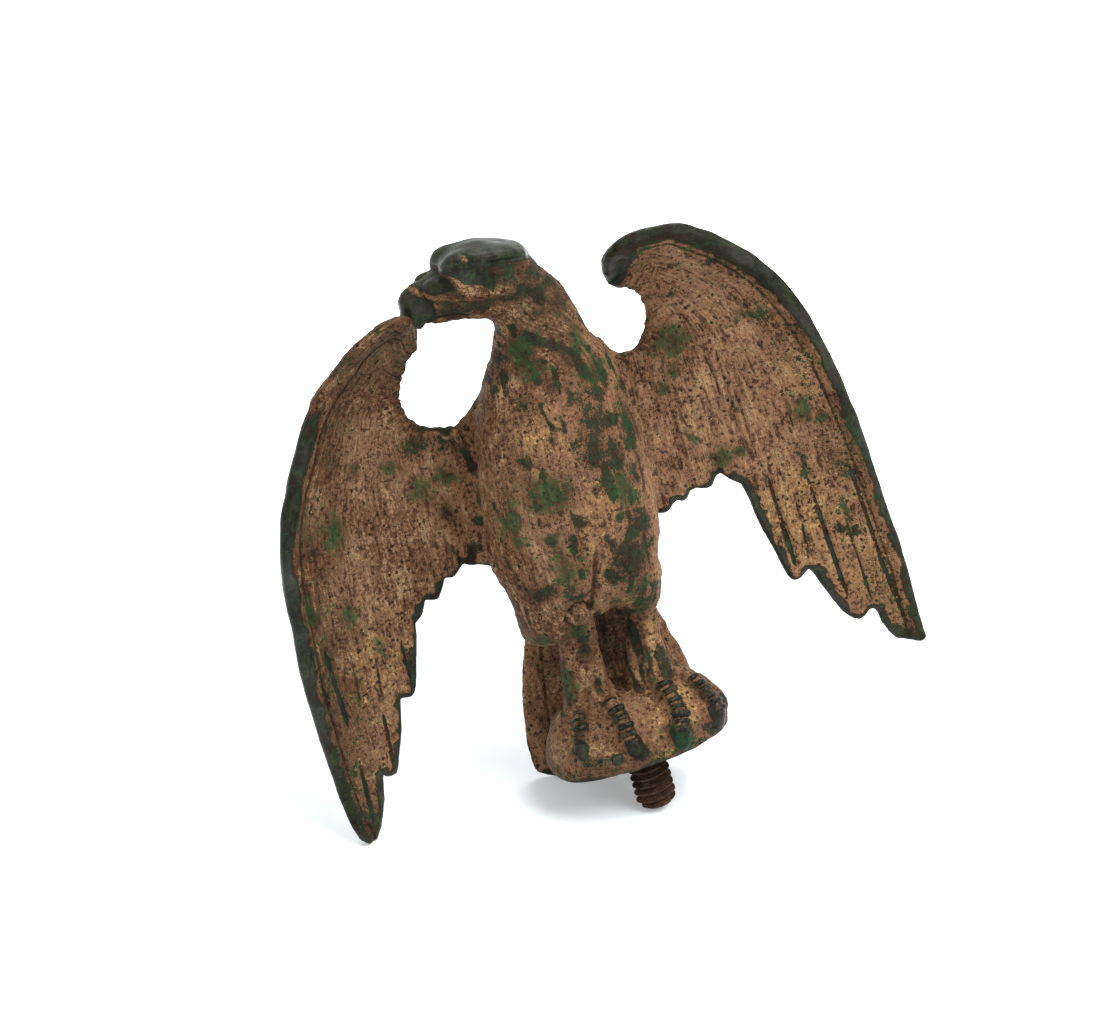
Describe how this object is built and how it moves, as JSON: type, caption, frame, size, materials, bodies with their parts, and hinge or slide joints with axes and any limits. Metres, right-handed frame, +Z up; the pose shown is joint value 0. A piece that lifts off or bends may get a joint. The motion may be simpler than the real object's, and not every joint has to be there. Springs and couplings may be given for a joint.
{
  "type": "eagle flag topper",
  "caption": "Cast brass eagle on a small plinth with a rusted iron stud: the finial of a small flag pole.",
  "frame": {"origin": "middle of the plinth's flat underside, where the threaded stud comes out", "axes": "+Z up along the stud's axis to the head, -Y out of the breast, +X to the bird's left wing"},
  "size_m": [0.0997, 0.0263, 0.0993],
  "materials": {
    "cast_brass": "aged, patchy",
    "dark_patina": "smooth, dark",
    "rusty_iron": "rusted"
  },
  "bodies": {
    "root": {"torso": "cast_brass", "head": "dark_patina", "right_wing": "cast_brass", "left_wing": "cast_brass", "right_leg": "cast_brass", "left_leg": "cast_brass", "tail": "cast_brass", "plinth": "cast_brass", "threaded_stud": "rusty_iron"}
  },
  "joints": []
}
